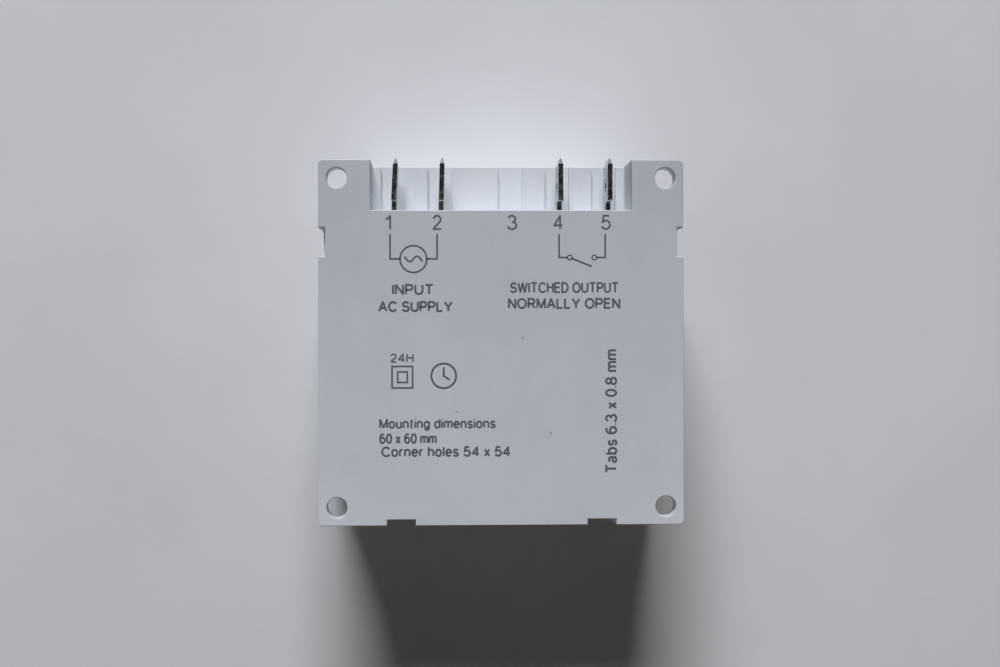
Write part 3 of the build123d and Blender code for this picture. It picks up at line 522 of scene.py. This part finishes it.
# ---------------------------------------------------------------- legends on the back cover
# the place numbers: x from and to for each, then y from and to and the stroke of all
NUMERALS = {"1": (-19.07, -18.02), "2": (-11.30, -9.72), "3": (0.95, 2.64), "4": (8.52, 10.18),
            "5": (16.40, 18.02)}
NUMERAL_LINE = (18.45, 20.95, 0.31)
# text, x from and to, y from and to, stroke
BACK_LINES = [
    ("INPUT", -17.93, -11.08, 7.80, 9.62, 0.34),
    ("AC SUPPLY", -20.22, -7.98, 5.00, 6.82, 0.35),
    ("SWITCHED OUTPUT", 1.38, 19.32, 8.08, 9.90, 0.31),
    ("NORMALLY OPEN", 1.05, 19.55, 5.48, 7.30, 0.33),
    ("24H", -18.25, -14.42, -3.27, -1.76, 0.25),
    ("Mounting dimensions", -20.08, -0.98, -14.10, -12.42, 0.31),
    ("60 x 60 mm", -20.08, -10.65, -16.58, -14.84, 0.32),
    ("Corner holes 54 x 54", -19.75, 1.47, -18.74, -16.98, 0.32),
]
UPRIGHT_LINE = ("Tabs 6.3 x 0.8 mm", 17.00, 19.00, -21.57, -1.15, 0.35)

# the wiring diagram: its lines end at WIRE_TOP, below the place numbers
WIRE = 0.29
WIRE_TOP = 17.78
SUPPLY_WIRES = [[(-18.24, WIRE_TOP), (-18.24, 13.72), (-16.58, 13.72)],
                [(-12.28, 13.72), (-10.55, 13.72), (-10.55, WIRE_TOP)]]
SUPPLY_X, SUPPLY_Y, SUPPLY_RADIUS = -14.43, 13.69, 2.19
WAVE_Y, WAVE_HALF, WAVE_RISE = 13.71, 1.52, 0.43  # level, half length and rise of the wave
WAVE_PHASE = 1.3 * pi  # from the wave's middle to its end
WAVE_STEPS = 24  # to each side
WAVE_SWELL = 0.8  # a sine to a power below one has fuller crests
CONTACT_Y, CONTACT_LEFT, CONTACT_RIGHT = 13.93, 11.24, 15.28
CONTACT_RING = (0.38, 0.22, 28)  # radius, stroke and corners
CONTACT_ARM = [(11.58, 13.79), (14.86, 12.45)]
LEFT_WIRE = [(9.48, WIRE_TOP), (9.48, CONTACT_Y), (10.86, CONTACT_Y)]
RIGHT_WIRE = [(15.66, CONTACT_Y), (17.07, CONTACT_Y), (17.07, WIRE_TOP)]

# the symbols: two frames (x from and to, y from and to, stroke), and a clock face with its hands
SYMBOL_FRAMES = [(-17.96, -14.60, -7.42, -3.90, 0.28), (-17.04, -15.46, -6.52, -4.80, 0.28)]
CLOCK_X, CLOCK_Y, CLOCK_RADIUS, CLOCK_LINE = -9.50, -5.45, 2.02, 0.32
CLOCK_HANDS = [(CLOCK_X, -4.05), (CLOCK_X, CLOCK_Y), (-8.55, -6.10)]

# dark grains left by the moulding: x, y, length, width and turn in radians
SPECKS = ((3.48, 0.70, 0.34, 0.22, 0.4), (8.07, -14.87, 0.30, 0.24, 1.9),
          (-7.34, -11.26, 0.62, 0.10, 0.1))
SPECK_CORNERS = 9
SPECK_UNEVEN = 0.22  # how far its outline wanders, as a share of its radius
SPECK_PHASE = 5.1  # of that wander, from one corner to the next, in radians


def back_piece(name, bm, material):
    """Lays a finished bmesh on the back cover's face."""
    to_metres(bm, BACK + INK_LIFT)
    flat_piece(name, bm, material, "housing")


def wave():
    """The middle line of the wave inside the supply symbol."""
    points = []
    for t in range(-WAVE_STEPS, WAVE_STEPS + 1):
        rise = sin(WAVE_PHASE * t / WAVE_STEPS)
        points.append((SUPPLY_X + WAVE_HALF * t / WAVE_STEPS,
                       WAVE_Y + WAVE_RISE * copysign(abs(rise) ** WAVE_SWELL, rise)))
    return points


def back_legends(material):
    """The numbers, diagram, short lines and symbols printed on the back cover."""
    bm = bmesh.new()
    for numeral, (x0, x1) in NUMERALS.items():
        letters(bm, numeral, x0, x1, *NUMERAL_LINE)
    back_piece("legend_place_numbers", bm, material)

    bm = bmesh.new()
    for wire in SUPPLY_WIRES:
        stroke(bm, wire, WIRE)
    ring(bm, SUPPLY_X, SUPPLY_Y, SUPPLY_RADIUS, WIRE)
    stroke(bm, wave(), WIRE)
    stroke(bm, LEFT_WIRE, WIRE)
    ring(bm, CONTACT_LEFT, CONTACT_Y, *CONTACT_RING)
    stroke(bm, CONTACT_ARM, WIRE)
    ring(bm, CONTACT_RIGHT, CONTACT_Y, *CONTACT_RING)
    stroke(bm, RIGHT_WIRE, WIRE)
    back_piece("legend_wiring_diagram", bm, material)

    bm = bmesh.new()
    for line in BACK_LINES:
        letters(bm, *line)
    letters(bm, *UPRIGHT_LINE, turn=radians(90))
    back_piece("legend_text_lines", bm, material)

    bm = bmesh.new()
    for box in SYMBOL_FRAMES:
        frame_line(bm, *box)
    ring(bm, CLOCK_X, CLOCK_Y, CLOCK_RADIUS, CLOCK_LINE)
    stroke(bm, CLOCK_HANDS, CLOCK_LINE)
    back_piece("legend_symbols", bm, material)


def specks(material):
    """A few dark grains in the surface of the back cover."""
    bm = bmesh.new()
    for x, y, long, wide, turn in SPECKS:
        corners = []
        for i in range(SPECK_CORNERS):
            angle = 2 * pi * i / SPECK_CORNERS
            reach = 0.5 * (1 + SPECK_UNEVEN * sin(SPECK_PHASE * i + x))
            p = Vector((long * reach * cos(angle), wide * reach * sin(angle)))
            p.rotate(Matrix.Rotation(turn, 2))
            corners.append(bm.verts.new((x + p.x, y + p.y, 0)))
        bm.faces.new(corners)
    back_piece("surface_specks", bm, material)


# ---------------------------------------------------------------- legends on the display film
KEY_NAMES = {"clock": "CLOCK", "day": "DAY", "hour": "HOUR", "minute": "MIN", "program": "PROG",
             "reset": "RESET", "manual": "MANUAL"}
NAME_GAP, NAME_TALL, NAME_STROKE = 0.55, 1.1, 0.13  # the gap is from the key up to its name
NAME_HALF = 0.42  # half the room that each letter of a name takes
BORDER = 0.25  # width of the frame's line round the window
BORDER_SHIFT = 0.2  # the line lies this far inside the window's ends, and outside its long sides
DAY_MARKS = "1234567"
DAY_STROKE = 0.15
DAY_INSET = 3.2  # from the window's ends to the middles of the first and last mark
DAY_HALF = 0.4  # half the width of a mark
DAY_FEET, DAY_TOPS = 0.8, 2.0  # above the window


def front_legends(material):
    """What is printed on the display film: key names, day marks and a frame round the window."""
    bm = bmesh.new()
    for key, text in KEY_NAMES.items():
        low, high = (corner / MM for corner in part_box(f"key_{key}"))
        x = -(low.x + high.x) / 2
        feet = high.y + NAME_GAP
        half = NAME_HALF * len(text)
        letters(bm, text, x - half, x + half, feet, feet + NAME_TALL, NAME_STROKE)
    low, high = (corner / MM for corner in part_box("display_window"))
    frame_line(bm, low.x + BORDER_SHIFT, high.x - BORDER_SHIFT,
               low.y - BORDER_SHIFT, high.y + BORDER_SHIFT, BORDER)
    for day, mark in enumerate(DAY_MARKS):
        x = low.x + DAY_INSET + day * (high.x - low.x - 2 * DAY_INSET) / (len(DAY_MARKS) - 1)
        letters(bm, mark, x - DAY_HALF, x + DAY_HALF,
                high.y + DAY_FEET, high.y + DAY_TOPS, DAY_STROKE)
    to_metres(bm, LABEL_FACE - INK_LIFT, mirrored=True)
    flat_piece("legend_display_film", bm, material, "housing")


# ---------------------------------------------------------------- display
SEGMENTS = {"0": "abcdef", "1": "bc", "2": "abged"}
DIGITS = ((-9.5, "1"), (-4.3, "2"), (2.7, "0"), (7.9, "0"))  # the x of each one's middle
DIGIT_TALL = 6.2  # between the middles of its top and bottom bars
DIGIT_WIDE, BAR_THICK = DIGIT_TALL * 0.52, DIGIT_TALL * 0.13
BAR_GAP = 0.12  # by which each bar is shorter than its side of the digit
LEAN = 0.08  # digits lean to the right by this much of their height
COLON_X, COLON_RISE, COLON_RADIUS, COLON_CORNERS = -0.8, 1.4, 0.35, 16
DAY_EDGES, DAY_STEP = (-12.3, -11.5), 4.0  # x from and to of the first day mark, and to the next
DAY_ROW = (4.2, 5.4)  # feet and tops
DISPLAY_DROP = 0.6  # the digits' middle lies this far below the polariser's
SEGMENT_LIFT = 0.03  # off the polariser's outer face


def segment_bar(bm, x, y, length, upright):
    """Adds one bar of a digit, with pointed ends."""
    h, t = length / 2, BAR_THICK / 2
    shape = [(-h, 0), (-h + t, t), (h - t, t), (h, 0), (h - t, -t), (-h + t, -t)]
    if upright:
        shape = [(-v, u) for u, v in shape]
    bm.faces.new([bm.verts.new((x + u + LEAN * (y + v), y + v, 0)) for u, v in shape])


def digit(bm, x, code):
    """Adds a seven-segment digit with its middle at x."""
    wide, tall = DIGIT_WIDE, DIGIT_TALL
    bars = {"a": (0, tall / 2, False), "g": (0, 0, False), "d": (0, -tall / 2, False),
            "f": (-wide / 2, tall / 4, True), "b": (wide / 2, tall / 4, True),
            "e": (-wide / 2, -tall / 4, True), "c": (wide / 2, -tall / 4, True)}
    for name in SEGMENTS[code]:
        bar_x, bar_y, upright = bars[name]
        segment_bar(bm, x + bar_x, bar_y, (tall / 2 if upright else wide) - BAR_GAP, upright)


def display_segments(material):
    """The time and a row of day marks, dark, just off the front polariser's outer face."""
    low, high = (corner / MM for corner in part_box("lcd_front_polariser"))
    middle = (low.y + high.y) / 2
    bm = bmesh.new()
    for x, code in DIGITS:
        digit(bm, x, code)
    for side in (-1, 1):
        turns = [2 * pi * i / COLON_CORNERS for i in range(COLON_CORNERS)]
        bm.faces.new([bm.verts.new((COLON_X + COLON_RADIUS * cos(a),
                                    side * COLON_RISE + COLON_RADIUS * sin(a), 0)) for a in turns])
    for day, mark in enumerate(DAY_MARKS):
        letters(bm, mark, *(x + DAY_STEP * day for x in DAY_EDGES), *DAY_ROW, DAY_STROKE)
    for v in bm.verts:
        v.co.y += middle - DISPLAY_DROP
    to_metres(bm, low.z - SEGMENT_LIFT, mirrored=True)
    flat_piece("display_segments", bm, material, "housing")


# ---------------------------------------------------------------- camera, floor and light
LENS, SENSOR = 49.4, 36.0
SHIFT = (0.0222, 0.0082)  # of the picture, as shares of its width
NEAREST = 0.01  # metres
CAMERA_PLACE = (-9.72, 0.14, BACK + 224.92)
CAMERA_TURN = (0.0, -1.4805, -0.122)  # degrees about X, Y and Z, from looking straight down
TABLE_HALF = 6.0  # metres
TABLE_DROP = 0.02  # below the module, so that the two faces do not coincide
SKY, SKY_STRENGTH = (1.0, 1.0, 0.84, 1), 0.046
# azimuth and elevation in degrees, distance and size in metres, power in watts, colour
WINDOW = (5.4, 36.0, 1.9, (0.80, 0.78), 37.6, (0.93, 0.955, 1.0))
STRIP_ELEVATION, STRIP_DISTANCE, STRIP_SIZE = 4.0, 1.6, (0.9, 0.16)
STRIP_COLOUR = (0.97, 0.98, 1.0)
STRIPS = ((0, 0.7), (132, 0.5), (228, 0.45))  # azimuth and power


def camera():
    """The back cover, seen from almost straight above."""
    data = bpy.data.cameras.new("camera")
    data.lens = LENS
    data.sensor_width = SENSOR
    data.shift_x, data.shift_y = SHIFT
    data.clip_start = NEAREST
    obj = bpy.data.objects.new("camera", data)
    bpy.context.scene.collection.objects.link(obj)
    obj.location = Vector(CAMERA_PLACE) * MM
    obj.rotation_euler = [radians(angle) for angle in CAMERA_TURN]
    bpy.context.scene.camera = obj


def floor():
    """A plain pale table top."""
    bm = bmesh.new()
    bmesh.ops.create_grid(bm, x_segments=1, y_segments=1, size=TABLE_HALF)
    mesh = bpy.data.meshes.new("table")
    bm.to_mesh(mesh)
    bm.free()
    obj = bpy.data.objects.new("table", mesh)
    bpy.context.scene.collection.objects.link(obj)
    obj.location.z = -TABLE_DROP * MM
    s = Shader("table").set(Specular_IOR_Level=0.12)
    s.colour(s.tone(s.noise(0.02, detail=4.0), linear(221, 222, 224), linear(229, 230, 232)))
    s.rough(s.noise(0.1), 0.6, 0.7)
    s.bump((s.noise(0.8), 0.02))
    mesh.materials.append(s.material)


def area_light(name, azimuth, elevation, distance, size, power, colour):
    """A soft rectangular light aimed at the module; azimuth 0 is +Y, turning towards -X."""
    data = bpy.data.lights.new(name, "AREA")
    data.shape = "RECTANGLE"
    data.size, data.size_y = size
    data.energy = power
    data.color = colour
    obj = bpy.data.objects.new(name, data)
    bpy.context.scene.collection.objects.link(obj)
    a, e = radians(azimuth), radians(elevation)
    place = Vector((-sin(a) * cos(e), cos(a) * cos(e), sin(e))) * distance
    obj.location = place
    obj.rotation_euler = place.to_track_quat("Z", "Y").to_euler()


def lights():
    """A dim sky, one window, and three weak strips low down that brighten the upright faces."""
    world = bpy.data.worlds.new("studio")
    world.use_nodes = True
    world.node_tree.nodes["Background"].inputs["Color"].default_value = SKY
    world.node_tree.nodes["Background"].inputs["Strength"].default_value = SKY_STRENGTH
    bpy.context.scene.world = world
    area_light("window", *WINDOW)
    for azimuth, power in STRIPS:
        area_light("low_strip", azimuth, STRIP_ELEVATION, STRIP_DISTANCE, STRIP_SIZE, power,
                   STRIP_COLOUR)


scene = bpy.context.scene
scene.view_settings.view_transform = "Standard"
scene.view_settings.look = "None"

camera()
record_materials()
back_legends(ink("legend_ink", linear(92, 95, 103)))
specks(ink("speck", linear(112, 112, 116)))
front_legends(ink("film_ink", linear(226, 229, 231)))
display_segments(ink("liquid_crystal", linear(28, 32, 30)))
floor()
lights()
